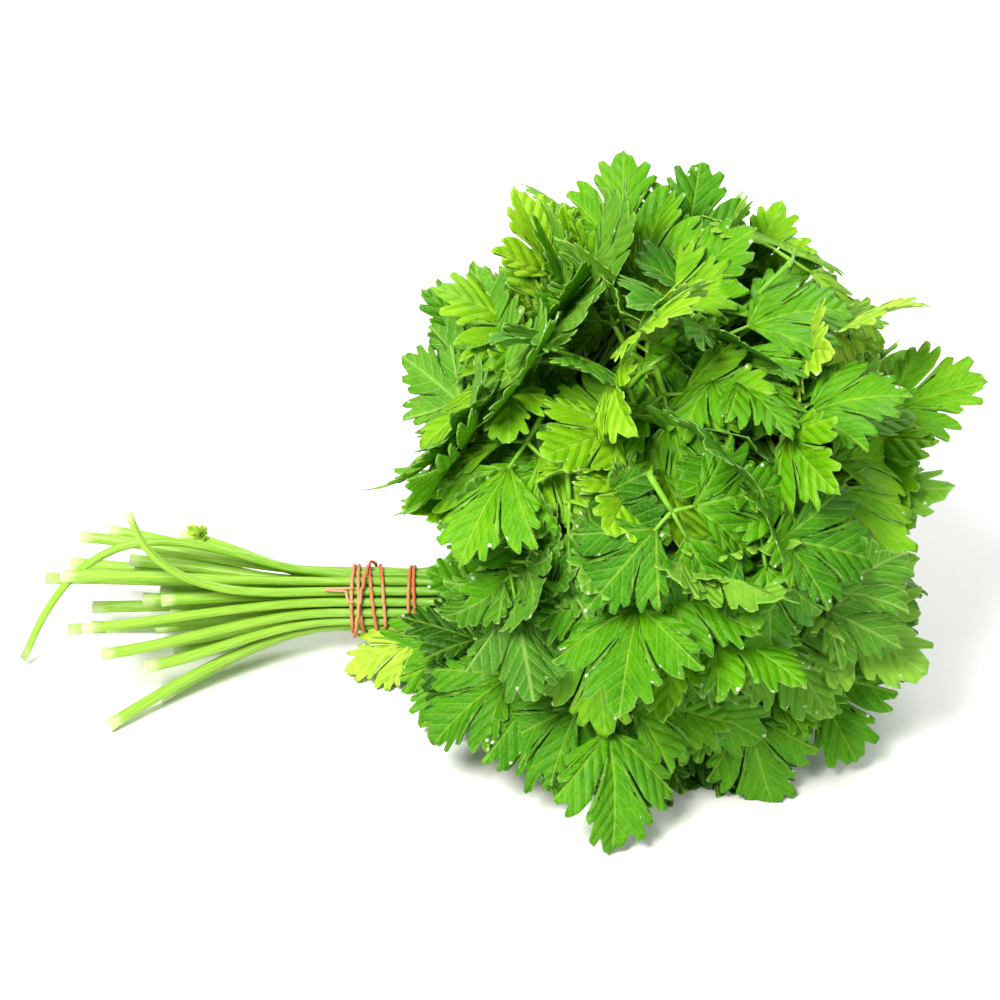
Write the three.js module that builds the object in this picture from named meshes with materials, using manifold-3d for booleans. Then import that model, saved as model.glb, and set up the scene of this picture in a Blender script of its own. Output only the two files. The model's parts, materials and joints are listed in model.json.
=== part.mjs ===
// A bunch of fresh flat-leaved herb, lying on its side: stems held by two elastic bands, leafy head at +X.
// Millimetres, +Z up. The stems run along X, the table is the plane z = 0.
import * as THREE from 'three';
import Module from 'manifold-3d';

const wasm = await Module();
wasm.setup();

// Bundle of stems where the bands hold it.
const TIE_RINGS = [
  { count: 3, radius: 1.95 },
  { count: 10, radius: 5.45 },
  { count: 16, radius: 9.05 },
];
const TIE_START = -38;
const TIE_END = -8;
const TIE_HEIGHT = 20;
const STEM_RADIUS_CUT = 1.85;
const STEM_RADIUS_TIE = 1.48;
const STEM_RADIUS_TIP = 0.85;
const STEM_SIDES = 6;
const STEM_STEPS = 14;

// Cut ends, spread out to the left of the tie.
const CUT_NEAREST = -85;
const CUT_FARTHEST = -130;
const CUT_SPREAD_Y = 3.5;
const CUT_SPREAD_Z = 1.95;

// Leafy head, an egg-shaped mass of leaf blades.
const HEAD_CENTRE = new THREE.Vector3(52, -6, 79);
const HEAD_HALF = new THREE.Vector3(82, 95, 79);
const NECK = new THREE.Vector3(-8, 0, 21);

// One compound leaf: a stalk that forks into three leaflets, each on a short stalk of its own.
const LEAF_THICKNESS = 0.6;
const STALK_HALF_WIDTH = 0.8;
const FORK = 13;
const BLADE_LENGTH = 60;
const LEAFLETS = [
  { turn: -1.26, reach: 8, length: 36 },
  { turn: 0, reach: 10, length: 41 },
  { turn: 1.26, reach: 8, length: 36 },
];
const CLEARANCE = 0.3;
const TRIES = 220;
const LOW_TIP = 32;
const ON_TABLE = 0.5;

// Elastic bands: a round cord wound round the bundle, with one turn that runs back over the others.
const BAND_RADIUS = 0.6;
const BAND_LOOP_RADIUS = TIE_RINGS[2].radius + STEM_RADIUS_TIE + CLEARANCE + BAND_RADIUS;
const BAND_SIDES = 5;
const BAND_STEPS_PER_TURN = 18;

const GREEN_STEM = { color: 0xa9cf57, roughness: 0.5, metalness: 0 };
const GREEN_LEAF = { color: 0x5fa81f, roughness: 0.5, metalness: 0 };
const BAND_ORANGE = { color: 0xc96a35, roughness: 0.55, metalness: 0 };

const UP = new THREE.Vector3(0, 0, 1);

// A repeatable stream of numbers between low and high.
let seed = 20617;
function between(low, high) {
  seed = (seed * 48271) % 2147483647;
  return low + (high - low) * (seed / 2147483647);
}

function toManifold(geometry) {
  const position = geometry.attributes.position;
  const places = new Map();
  const points = [];
  const corner = [];
  for (let i = 0; i < position.count; i++) {
    const place = [position.getX(i), position.getY(i), position.getZ(i)];
    const key = place.map((c) => Math.round(c * 1e4)).join();
    if (!places.has(key)) {
      places.set(key, points.length / 3);
      points.push(...place);
    }
    corner.push(places.get(key));
  }
  const order = geometry.index ? Array.from(geometry.index.array, (i) => corner[i]) : corner;
  const triangles = [];
  for (let i = 0; i < order.length; i += 3) {
    const [a, b, c] = order.slice(i, i + 3);
    if (a !== b && b !== c && c !== a) triangles.push(a, b, c);
  }
  const vertProperties = new Float32Array(points);
  const triVerts = new Uint32Array(triangles);
  return new wasm.Manifold(new wasm.Mesh({ numProp: 3, vertProperties, triVerts }));
}

function toGeometry(solid) {
  const mesh = solid.getMesh();
  const geometry = new THREE.BufferGeometry();
  geometry.setAttribute('position', new THREE.BufferAttribute(new Float32Array(mesh.vertProperties), 3));
  geometry.setIndex(new THREE.BufferAttribute(new Uint32Array(mesh.triVerts), 1));
  return geometry;
}

// Bends an upright cylinder along a curve, with a radius that changes along it.
function tubeAlong(curve, radiusAt, sides, steps) {
  const geometry = new THREE.CylinderGeometry(1, 1, 1, sides, steps);
  const frames = curve.computeFrenetFrames(steps, false);
  const position = geometry.attributes.position;
  for (let i = 0; i < position.count; i++) {
    const along = position.getY(i) + 0.5;
    const step = Math.round(along * steps);
    const place = curve.getPointAt(Math.min(1, step / steps));
    const radius = radiusAt(along);
    place.addScaledVector(frames.normals[step], position.getX(i) * radius);
    place.addScaledVector(frames.binormals[step], -position.getZ(i) * radius);
    position.setXYZ(i, place.x, place.y, place.z);
  }
  return geometry;
}

// ---- Stems ----

// Places of the stems in the bundle, ring by ring, seen along the bundle.
const stemPlaces = TIE_RINGS.flatMap((ring, level) =>
  Array.from({ length: ring.count }, (_, i) => {
    const turn = (i / ring.count) * 2 * Math.PI + level * 0.35;
    return { level, i, turn, y: Math.cos(turn) * ring.radius, z: Math.sin(turn) * ring.radius };
  }),
);

// How far round the head, from its far end, a stem of each ring reaches.
function polarAngle(place) {
  if (place.level === 0) return 0.36;
  if (place.level === 1) return 0.94;
  return place.i % 2 ? 2.2 : 1.5;
}

const headAxis = HEAD_CENTRE.clone().sub(NECK).normalize();
const headUp = UP.clone().addScaledVector(headAxis, -UP.dot(headAxis)).normalize();
const headSide = headUp.clone().cross(headAxis);

// Whether a place, given from the head's centre, is outside the head. The head is flat underneath.
function pastSkin(place) {
  const flattened = new THREE.Vector3(place.x, place.y, Math.max(place.z, place.z * 0.3));
  return flattened.divide(HEAD_HALF).length() > 1;
}

// The tip of the stem, the way its blade points and the way the upper face of the blade looks.
function leafPlace(place) {
  const polar = polarAngle(place) + between(-0.12, 0.12);
  const turn = place.turn + between(-0.1, 0.1);
  const outward = headAxis
    .clone()
    .multiplyScalar(Math.cos(polar))
    .addScaledVector(headSide, Math.sin(polar) * Math.cos(turn))
    .addScaledVector(headUp, Math.sin(polar) * Math.sin(turn));
  const face = outward.clone().setZ(Math.max(outward.z, 0)).addScaledVector(UP, 0.5).normalize();
  const onSkin = outward.clone().multiply(HEAD_HALF);
  const away = onSkin.clone().add(HEAD_CENTRE).sub(NECK).normalize();
  const droop = outward.clone().multiplyScalar(UP.dot(outward)).sub(UP);
  const lean = away.addScaledVector(droop, place.level === 2 ? 0.15 : 0.9);
  const axis = lean.clone().addScaledVector(face, -0.85 * lean.dot(face)).normalize();
  let depth = 0.86;
  while (depth > 0.3 && pastSkin(onSkin.clone().multiplyScalar(depth).addScaledVector(axis, BLADE_LENGTH))) {
    depth -= 0.02;
  }
  const tip = onSkin.clone().multiplyScalar(depth + between(-0.06, 0.02)).add(HEAD_CENTRE);
  return { tip, face, axis };
}

// Stems with a cut end of their own: one curls up, one arches over the rest and droops, three lie straight
// and two bend down to the table.
const LOOSE_ENDS = new Map([
  ['2:4', { end: new THREE.Vector3(-102, -16, 64), lift: new THREE.Vector3(-95, -19, 29), pull: 20 }],
  ['2:2', { end: new THREE.Vector3(-141, -10, 3.2), lift: new THREE.Vector3(-112, 5, 71), pull: 34 }],
  ['1:5', { end: new THREE.Vector3(-125, -13, 17), lift: new THREE.Vector3(-96, -10, 17), pull: 26 }],
  ['1:8', { end: new THREE.Vector3(-120, 7, 12), lift: new THREE.Vector3(-90, 5, 14), pull: 26 }],
  ['2:8', { end: new THREE.Vector3(-109, -45, 2.4), lift: new THREE.Vector3(-84, -24, 8), pull: 20 }],
  ['2:9', { end: new THREE.Vector3(-94, -30, 2.4), lift: new THREE.Vector3(-76, -13, 4), pull: 18 }],
  ['1:2', { end: new THREE.Vector3(-134, 6, 24), lift: new THREE.Vector3(-100, 3, 26), pull: 30 }],
]);

function cutEnd(place) {
  const reach = between(CUT_FARTHEST, CUT_NEAREST);
  return new THREE.Vector3(
    reach,
    place.y * CUT_SPREAD_Y * between(0.95, 1.05),
    Math.max(STEM_RADIUS_CUT + 0.1, TIE_HEIGHT - 1 + place.z * CUT_SPREAD_Z),
  );
}

function stemCurve(place, leaf) {
  const held = new THREE.Vector3(TIE_START, place.y, TIE_HEIGHT + place.z);
  const free = new THREE.Vector3(TIE_END, place.y, TIE_HEIGHT + place.z);
  const loose = LOOSE_ENDS.get(`${place.level}:${place.i}`);
  const end = loose ? loose.end : cutEnd(place);
  const toEnd = held.x - end.x;
  const before = new THREE.Vector3(held.x - (loose ? loose.pull : toEnd * 0.35), held.y, held.z);
  const lift = loose
    ? loose.lift
    : new THREE.Vector3(end.x + toEnd * 0.35, end.y * 0.72 + held.y * 0.28, end.z * 0.8 + held.z * 0.2);
  const rise = leaf.tip.distanceTo(free);
  const after = new THREE.Vector3(free.x + rise * 0.34, free.y, free.z);
  const approach = leaf.tip.clone().addScaledVector(leaf.axis, -rise * 0.2).lerp(free, 0.12);
  const path = new THREE.CurvePath();
  path.add(new THREE.CubicBezierCurve3(end, lift, before, held));
  path.add(new THREE.LineCurve3(held, free));
  path.add(new THREE.CubicBezierCurve3(free, after, approach, leaf.tip));
  return path;
}

const leafPlaces = stemPlaces.map(leafPlace);
const stemSolids = stemPlaces.map((place, i) => {
  const curve = stemCurve(place, leafPlaces[i]);
  curve.arcLengthDivisions = 300;
  const radiusAt = (t) =>
    t < 0.5
      ? STEM_RADIUS_CUT + (STEM_RADIUS_TIE - STEM_RADIUS_CUT) * Math.min(1, t / 0.35)
      : STEM_RADIUS_TIE + (STEM_RADIUS_TIP - STEM_RADIUS_TIE) * ((t - 0.5) / 0.5);
  leafPlaces[i].heading = curve.getTangentAt(1);
  leafPlaces[i].axis.lerp(leafPlaces[i].heading, 0.4).normalize();
  return toManifold(tubeAlong(curve, radiusAt, STEM_SIDES, STEM_STEPS));
});

// ---- Leaves ----

// Right half of the outline of a leaflet one unit long: wedge base, side lobe, deep notch, middle lobe.
const HALF_OUTLINE = [
  [0.34, 0.27],
  [0.38, 0.42],
  [0.47, 0.6],
  [0.3, 0.61],
  [0.14, 0.46],
  [0.27, 0.8],
  [0.16, 0.83],
];

// The outline of the whole leaf, walked round from the foot of the stalk: out along each leaflet and back.
function leafOutline(size) {
  const half = STALK_HALF_WIDTH;
  const points = [new THREE.Vector2(half, 0), new THREE.Vector2(half, (FORK - 1) * size)];
  for (const { turn, reach, length } of LEAFLETS) {
    const edge = [...HALF_OUTLINE, [0, 1], ...HALF_OUTLINE.toReversed().map(([x, y]) => [-x, y])];
    const walk = edge.map(([x, y]) => new THREE.Vector2(x * length * size, (y * length + reach) * size));
    walk.unshift(new THREE.Vector2(half, reach * size));
    walk.push(new THREE.Vector2(-half, reach * size));
    for (const point of walk) {
      points.push(point.rotateAround(new THREE.Vector2(0, 0), turn).add(new THREE.Vector2(0, FORK * size)));
    }
    if (turn < 0.5) points.push(new THREE.Vector2(turn < -0.5 ? half : -half, (FORK + 2) * size));
  }
  points.push(new THREE.Vector2(-half, (FORK - 1) * size), new THREE.Vector2(-half, 0));
  return points;
}

// A thin plate of the leaf's outline; its leaflets droop away from the fork.
function leafSolid(size, droop) {
  const geometry = new THREE.ExtrudeGeometry(new THREE.Shape(leafOutline(size)), {
    depth: LEAF_THICKNESS,
    bevelEnabled: false,
  });
  const position = geometry.attributes.position;
  for (let i = 0; i < position.count; i++) {
    const x = position.getX(i);
    const y = Math.max(0, position.getY(i) - FORK * size);
    const sag = (droop * (x * x + y * y)) / (size * 60);
    position.setZ(i, position.getZ(i) - LEAF_THICKNESS / 2 - sag);
  }
  return toManifold(geometry);
}

// A leaf in its place: base just off the stem's tip, stalk along the axis, upper side towards the face.
function standing(solid, leaf, axis, face) {
  const side = axis.clone().cross(face).normalize();
  const top = side.clone().cross(axis);
  const bend = axis.clone().cross(leaf.heading).length();
  const at = leaf.tip.clone().addScaledVector(leaf.heading, CLEARANCE + bend * (STALK_HALF_WIDTH + 0.15));
  return solid.transform([side, axis, top, at].flatMap((v) => [...v.toArray(), v === at ? 1 : 0]));
}

function boxesMeet(a, b) {
  return [0, 1, 2].every((k) => a.min[k] < b.max[k] + CLEARANCE && b.min[k] < a.max[k] + CLEARANCE);
}

const taken = stemSolids.map((solid) => ({ solid, box: solid.boundingBox() }));

function isFree(solid) {
  const box = solid.boundingBox();
  if (box.min[2] < 0.05) return false;
  const apart = (other) => solid.minGap(other.solid, CLEARANCE) >= CLEARANCE * 0.9;
  return taken.every((other) => !boxesMeet(box, other.box) || apart(other));
}

// Each leaf tries its own place first, then turns, tilts and shrinks a little until it is clear of the
// others. A leaf under the head goes on until it finds a free place that touches the table.
function settle(leaf, label) {
  const low = leaf.tip.z < LOW_TIP;
  let best = null;
  for (let attempt = 0; attempt < TRIES; attempt++) {
    const ease = attempt / TRIES;
    const sag = between(0.12, 0.4) * Math.min(1, leaf.tip.z / 60);
    const size = 1.12 - 0.5 * ease;
    const across = leaf.axis.clone().cross(leaf.face).normalize();
    const axis = leaf.axis
      .clone()
      .applyAxisAngle(leaf.face, between(-0.5, 0.5) * (0.4 + 1.6 * ease))
      .applyAxisAngle(across, between(-0.45, 0.6) * (0.3 + 1.7 * ease))
      .normalize();
    const face = leaf.face.clone().applyAxisAngle(axis, between(-0.5, 0.5) * (0.4 + 2 * ease));
    const solid = standing(leafSolid(size, sag), leaf, axis, face);
    if (!isFree(solid)) continue;
    const height = solid.boundingBox().min[2];
    if (!best || height < best.height) best = { solid, height };
    if (!low || height < ON_TABLE) break;
  }
  if (!best) throw new Error(`no free place for ${label}`);
  taken.push({ solid: best.solid, box: best.solid.boundingBox() });
  return best.solid;
}

const leafSolids = leafPlaces.map((leaf, i) => settle(leaf, `leaf ${i + 1}`));

// ---- Elastic bands ----

// A closed winding: forward turns side by side, then one turn back that passes over them.
function bandCurve(start, end, turns) {
  const points = [];
  const total = turns + 1;
  const samples = total * BAND_STEPS_PER_TURN;
  for (let i = 0; i < samples; i++) {
    const t = (i / samples) * total;
    const back = Math.max(0, t - turns);
    const x = t <= turns ? start + ((end - start) * t) / turns : end + (start - end) * back;
    const over = Math.sin(Math.PI * Math.min(1, back)) ** 0.5;
    const radius = BAND_LOOP_RADIUS + over * (2 * BAND_RADIUS + CLEARANCE + 0.1);
    const turn = (t + 0.2) * 2 * Math.PI;
    points.push(new THREE.Vector3(x, Math.cos(turn) * radius, TIE_HEIGHT + Math.sin(turn) * radius));
  }
  return new THREE.CatmullRomCurve3(points, true);
}

function band(start, end, turns) {
  return new THREE.TubeGeometry(
    bandCurve(start, end, turns),
    (turns + 1) * BAND_STEPS_PER_TURN,
    BAND_RADIUS,
    BAND_SIDES,
    true,
  );
}

// ---- The whole bunch ----

const bunch = new THREE.Group();
bunch.name = 'herb_bunch';

function add(name, geometry, look) {
  const mesh = new THREE.Mesh(geometry, new THREE.MeshStandardMaterial(look));
  mesh.name = name;
  bunch.add(mesh);
}

const number = (i) => String(i + 1).padStart(2, '0');
stemSolids.forEach((solid, i) => add(`stem_${number(i)}`, toGeometry(solid), GREEN_STEM));
leafSolids.forEach((solid, i) => add(`leaf_${number(i)}`, toGeometry(solid), GREEN_LEAF));
add('elastic_band_outer', band(-34, -23, 4), BAND_ORANGE);
add('elastic_band_inner', band(-16, -12.5, 1), BAND_ORANGE);

// The origin is the middle of the footprint, on the table.
const box = new THREE.Box3().setFromObject(bunch);
const middle = box.getCenter(new THREE.Vector3());
bunch.children.forEach((mesh) => mesh.geometry.translate(-middle.x, -middle.y, -box.min.z));

export default bunch;
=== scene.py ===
# %% [markdown]
# # A tied bunch of flat-leaved herb
# The CAD frame holds plain stems, plate leaves and elastics. Each is replaced here by a piece with the
# real one's shape: ribbed stalks, compound leaves of toothed leaflets, and a stretched rubber band.
# Lengths in the text of a cell are millimetres, and MM turns them into Blender's metres.

import json
import math
import random

import bmesh
import bpy
from mathutils import Matrix, Vector

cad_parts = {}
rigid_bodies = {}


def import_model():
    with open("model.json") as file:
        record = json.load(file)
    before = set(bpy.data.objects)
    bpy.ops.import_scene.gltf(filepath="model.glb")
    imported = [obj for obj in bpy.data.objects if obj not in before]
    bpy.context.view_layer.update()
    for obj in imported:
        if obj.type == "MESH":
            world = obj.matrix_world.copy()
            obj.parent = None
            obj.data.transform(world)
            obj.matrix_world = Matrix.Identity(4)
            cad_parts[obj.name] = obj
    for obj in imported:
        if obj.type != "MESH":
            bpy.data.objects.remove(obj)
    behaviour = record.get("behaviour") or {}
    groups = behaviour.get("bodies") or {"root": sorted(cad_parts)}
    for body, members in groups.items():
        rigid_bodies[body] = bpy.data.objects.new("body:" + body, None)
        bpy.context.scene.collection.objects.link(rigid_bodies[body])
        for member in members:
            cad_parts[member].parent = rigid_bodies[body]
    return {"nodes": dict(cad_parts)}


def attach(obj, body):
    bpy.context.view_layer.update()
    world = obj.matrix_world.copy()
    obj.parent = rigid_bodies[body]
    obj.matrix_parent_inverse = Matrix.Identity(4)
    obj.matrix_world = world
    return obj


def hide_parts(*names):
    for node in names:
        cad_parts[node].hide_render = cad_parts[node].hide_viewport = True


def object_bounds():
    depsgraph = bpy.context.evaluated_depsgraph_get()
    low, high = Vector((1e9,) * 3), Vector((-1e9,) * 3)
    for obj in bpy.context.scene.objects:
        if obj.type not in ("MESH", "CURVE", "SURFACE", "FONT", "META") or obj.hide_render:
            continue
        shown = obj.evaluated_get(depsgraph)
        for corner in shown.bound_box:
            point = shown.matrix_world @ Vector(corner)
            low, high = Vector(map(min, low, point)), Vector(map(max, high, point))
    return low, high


for leftover in list(bpy.data.objects):
    bpy.data.objects.remove(leftover)

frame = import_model()
CAD_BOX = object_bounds()
MM = 0.001
UP = Vector((0, 0, 1))
dice = random.Random(41)
print("CAD box, mm:", [round(c / MM) for corner in CAD_BOX for c in corner])

# %% [markdown]
# ## Materials
# A fresh leaf is a thin waxy sheet. It reflects a soft gloss, and light also comes through it, so its
# shader mixes a glossy surface with a translucent one. Colours are picked as sRGB hex values, and one
# function turns them to linear light. Another adds a node with its settings and links. A pattern's scale
# is worked out from its real size in millimetres.


# %% Colours, nodes and scales
def linear(hex_colour):
    channels = [int(hex_colour[i : i + 2], 16) / 255 for i in (1, 3, 5)]
    light = [c / 12.92 if c <= 0.04045 else ((c + 0.055) / 1.055) ** 2.4 for c in channels]
    return [*light, 1.0]


def node(tree, kind, *values, **settings):
    """Each value fills the next input, or the one it is paired with. A node stands for its first output."""
    made = tree.nodes.new("ShaderNode" + kind)
    for setting, choice in settings.items():
        setattr(made, setting, choice)
    for i, value in enumerate(values):
        name, value = value if isinstance(value, tuple) else (i, value)
        if isinstance(value, bpy.types.Node):
            value = value.outputs[0]
        if isinstance(value, bpy.types.NodeSocket):
            tree.links.new(value, made.inputs[name])
        else:
            made.inputs[name].default_value = value
    return made


def new_material(name):
    material = bpy.data.materials.new(name)
    material.use_nodes = True
    material.node_tree.nodes.clear()
    return material, material.node_tree


def per_metre(size):
    """How often a pattern of this size, in mm, repeats in a metre."""
    return 1 / (size * MM)


SMOOTH = {"interpolation_type": "SMOOTHSTEP"}
COLOURS = {"data_type": "RGBA"}
MULTIPLIED = {"data_type": "RGBA", "blend_type": "MULTIPLY"}
UV_UNIT = 10
print("a 2 mm pattern has the scale", per_metre(2), "and #808080 is", round(linear("#808080")[0], 3))

# %% [markdown]
# ### Veins of a leaf
# Each leaflet carries two UV maps. "veins" holds, in units of 10 mm, the distance from the nearest rib
# and the way along it, so ribs and side veins follow the lobes. Side veins leave the rib every 4.6 mm and
# slant forward. "look" holds the leaflet's tone, from deep green to young yellow-green, and how near the
# margin a point is.

# %% Rib and side veins
RIB_EDGE, RIB_CORE = 0.62, 0.2
VEIN_SLANT, VEIN_FOLD = -1.25, 2.3
VEIN_EDGE, VEIN_CORE = 0.42, 0.1


def leaf_veins(tree):
    """The distance off the rib and along it in mm, the wave between side veins, and a mask of all ribs."""
    uv = node(tree, "SeparateXYZ", node(tree, "UVMap", uv_map="veins")).outputs
    off_rib = node(tree, "Math", uv[0], UV_UNIT, operation="MULTIPLY")
    along = node(tree, "Math", uv[1], UV_UNIT, operation="MULTIPLY")
    main = node(tree, "MapRange", off_rib, RIB_EDGE, RIB_CORE, **SMOOTH)
    forward = node(tree, "Math", off_rib, VEIN_SLANT, along, operation="MULTIPLY_ADD")
    wave = node(tree, "Math", forward, VEIN_FOLD, operation="PINGPONG")
    line = node(tree, "MapRange", wave, VEIN_EDGE, VEIN_CORE, **SMOOTH)
    fade = node(tree, "MapRange", off_rib, 9.0, 4.0, 0.25, 0.8, **SMOOTH)
    side = node(tree, "Math", line, fade, operation="MULTIPLY")
    return off_rib, along, wave, node(tree, "Math", main, side, operation="MAXIMUM")


print("side veins are", 2 * VEIN_FOLD, "mm apart")

# %% [markdown]
# ### Greens of a leaf
# A leaf's green is not even. Streaks fan out from the base, patches of 8 mm mottle it, and patches of 45
# mm make one side of a spray paler than the other. All three move the tone, and a colour ramp turns the
# tone to a green.


# %% Shade and green
def leaf_shade(tree, place, tone, off_rib, along):
    """The shade, and the mottling and the streaks that are also needed for the relief."""
    mottle = node(tree, "TexNoise", ("Vector", place), ("Scale", per_metre(8.333)), ("Detail", 3.0))
    broad = node(tree, "TexNoise", ("Vector", place), ("Scale", per_metre(45.45)), ("Detail", 2.0))
    reach = node(tree, "Math", along, 3.0, operation="ADD")
    fan = node(tree, "Math", off_rib, reach, operation="DIVIDE")
    across = node(tree, "Math", fan, 11.0, operation="MULTIPLY")
    outwards = node(tree, "Math", along, 0.06, operation="MULTIPLY")
    spread = node(tree, "CombineXYZ", across, outwards, tone)
    streaks = node(tree, "TexNoise", ("Vector", spread), ("Scale", 1.6), ("Detail", 3.0))
    shade = node(tree, "Math", streaks, 0.5, operation="SUBTRACT")
    shade = node(tree, "Math", shade, 0.34, tone, operation="MULTIPLY_ADD")
    shade = node(tree, "Math", mottle, 0.36, shade, operation="MULTIPLY_ADD")
    shade = node(tree, "Math", broad, 0.34, shade, operation="MULTIPLY_ADD")
    return node(tree, "Math", shade, 0.35, operation="SUBTRACT"), mottle, streaks


def green_of(tree, shade, greens):
    ramp = node(tree, "ValToRGB", shade)
    points = ramp.color_ramp.elements
    while len(points) < len(greens):
        points.new(0.5)
    for i, colour in enumerate(greens):
        points[i].position = i / (len(greens) - 1)
        points[i].color = linear(colour)
    return ramp


print("mottling has the scale", round(per_metre(8.333)), "and broad patches", round(per_metre(45.45)))

# %% [markdown]
# ### Specks, painted glints and the net
# A net of fine veins, about 1.2 mm wide, is near the smallest thing that shows. A few old specks are
# brown. Painted glints, near-white dots of base colour 3.3 mm apart that stand for light sparkling on
# water drops, sit near the margin, where a second pattern lets only some of them through.


# %% Small marks
def brown_specks(tree, place):
    spot = node(tree, "TexVoronoi", ("Vector", place), ("Scale", per_metre(18.18)))
    rare = node(tree, "TexNoise", ("Vector", place), ("Scale", per_metre(28.57)), ("Detail", 0.0))
    dot = node(tree, "MapRange", spot, 0.065, 0.045, **SMOOTH)
    kept = node(tree, "MapRange", rare, 0.60, 0.66, **SMOOTH)
    return node(tree, "Math", dot, kept, operation="MULTIPLY")


# Painted glints: near-white dots of base colour near the margin stand for light sparkling on drops of water.
def painted_glint_dots(tree, place, margin):
    glint_cells = node(tree, "TexVoronoi", ("Vector", place), ("Scale", per_metre(3.3333)))
    few = node(tree, "TexNoise", ("Vector", place), ("Scale", per_metre(13.333)), ("Detail", 0.0))
    glint_dot = node(tree, "MapRange", glint_cells, 0.22, 0.14, **SMOOTH)
    kept = node(tree, "MapRange", few, 0.50, 0.56, **SMOOTH)
    edge = node(tree, "MapRange", margin, 0.90, 0.95, **SMOOTH)
    painted_glint = node(tree, "Math", glint_dot, kept, operation="MULTIPLY")
    return node(tree, "Math", painted_glint, edge, operation="MULTIPLY")


def fine_net(tree, place):
    size = per_metre(1.2195)
    cells = node(tree, "TexVoronoi", ("Vector", place), ("Scale", size), feature="DISTANCE_TO_EDGE")
    return node(tree, "MapRange", cells, 0.14, 0.0, **SMOOTH)


print("beads of water have the scale", round(per_metre(3.3333)))

# %% [markdown]
# ### The blade
# The upper side is waxy: satin, with a weak reflection, pillowed between its veins. The underside is
# paler and more matt. Each mark is laid over the green by its mask, and light that comes through turns
# yellow-green.

# %% Leaf materials
LET_THROUGH = 0.26
# The near-white colour is for painted glints, light sparkling on drops of water.
# The pale margin colour is partly the leaf's own paler edge and partly a painted highlight where light
# catches the rim.
PALE_EDGE_AND_RIM_HIGHLIGHT, SPECK, PAINTED_GLINT_WHITE = linear("#CFE79A"), linear("#7A4A18"), linear("#F6FCEA")
LIT_THROUGH, LIT_FRESH = linear("#F4FF9E"), linear("#B6E63A")


def leaf_colour(tree, green, rib, place, margin, ribs, net):
    # Paler at the very margin: partly the leaf's own edge, partly a painted rim highlight.
    edge_and_rim_highlight = node(tree, "MapRange", margin, 0.98, 1.0, **SMOOTH)
    marks = [
        (net, 0.10, linear(rib)),
        (ribs, 0.30, linear(rib)),
        (edge_and_rim_highlight, 0.22, PALE_EDGE_AND_RIM_HIGHLIGHT),
        (brown_specks(tree, place), 0.75, SPECK),
        (painted_glint_dots(tree, place, margin), 0.85, PAINTED_GLINT_WHITE),
    ]
    colour = green.outputs[0]
    for mask, strength, paint in marks:
        share = node(tree, "Math", mask, strength, operation="MULTIPLY")
        colour = node(tree, "Mix", share, (6, colour), (7, paint), **COLOURS).outputs[2]
    return colour


def leaf_relief(tree, wave, ribs, net, mottle, streaks, strength):
    pillow = node(tree, "MapRange", wave, 0.0, VEIN_FOLD, **SMOOTH)
    height = node(tree, "Math", mottle, 1.3, pillow, operation="MULTIPLY_ADD")
    height = node(tree, "Math", ribs, -0.5, height, operation="MULTIPLY_ADD")
    height = node(tree, "Math", streaks, 0.4, height, operation="MULTIPLY_ADD")
    height = node(tree, "Math", net, -0.18, height, operation="MULTIPLY_ADD")
    return node(tree, "Bump", ("Strength", strength), ("Distance", 0.8 * MM), ("Height", height))


def leaf_material(name, greens, rib, roughness, relief):
    material, tree = new_material(name)
    place = node(tree, "TexCoord").outputs["Object"]
    tone, margin = node(tree, "SeparateXYZ", node(tree, "UVMap", uv_map="look")).outputs[:2]
    off_rib, along, wave, ribs = leaf_veins(tree)
    shade, mottle, streaks = leaf_shade(tree, place, tone, off_rib, along)
    net = fine_net(tree, place)
    colour = leaf_colour(tree, green_of(tree, shade, greens), rib, place, margin, ribs, net)
    bump = leaf_relief(tree, wave, ribs, net, mottle, streaks, relief)
    rough = node(tree, "MapRange", mottle, 0.2, 0.8, roughness - 0.06, roughness + 0.08, **SMOOTH)
    wax = node(tree, "BsdfPrincipled", ("Base Color", colour), ("Roughness", rough), ("Normal", bump))
    wax.inputs["IOR"].default_value = 1.42
    wax.inputs["Specular IOR Level"].default_value = 0.28
    tinted = node(tree, "Mix", 1.0, (6, colour), (7, LIT_THROUGH), **MULTIPLIED).outputs[2]
    fresh = node(tree, "Mix", 0.35, (6, tinted), (7, LIT_FRESH), **COLOURS).outputs[2]
    light = node(tree, "BsdfTranslucent", ("Color", fresh), ("Normal", bump))
    node(tree, "OutputMaterial", node(tree, "MixShader", LET_THROUGH, wax, light))
    return material


LEAF_GREENS = ["#1A5800", "#378500", "#5CA900", "#92CA12", "#CBE94C"]
UNDER_GREENS = ["#33700C", "#4E9214", "#6DB024", "#93CB3C", "#C2E474"]
leaf_upper = leaf_material("waxy_leaf_blade", LEAF_GREENS, "#B4E052", 0.40, 0.6)
leaf_under = leaf_material("matt_leaf_underside", UNDER_GREENS, "#C6E77C", 0.58, 0.45)
print("leaf materials:", leaf_upper.name, leaf_under.name)

# %% [markdown]
# ### Stalk
# The skin of a stalk is satin and moist, and fibres run along it. Its UV map "veins" holds the turn round
# the stalk and the distance from the cut end in units of 10 mm. Towards the cut it fades nearly to white,
# and towards the leaves it turns greener. A little light spreads under the skin, which softens its
# shadows.


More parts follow.
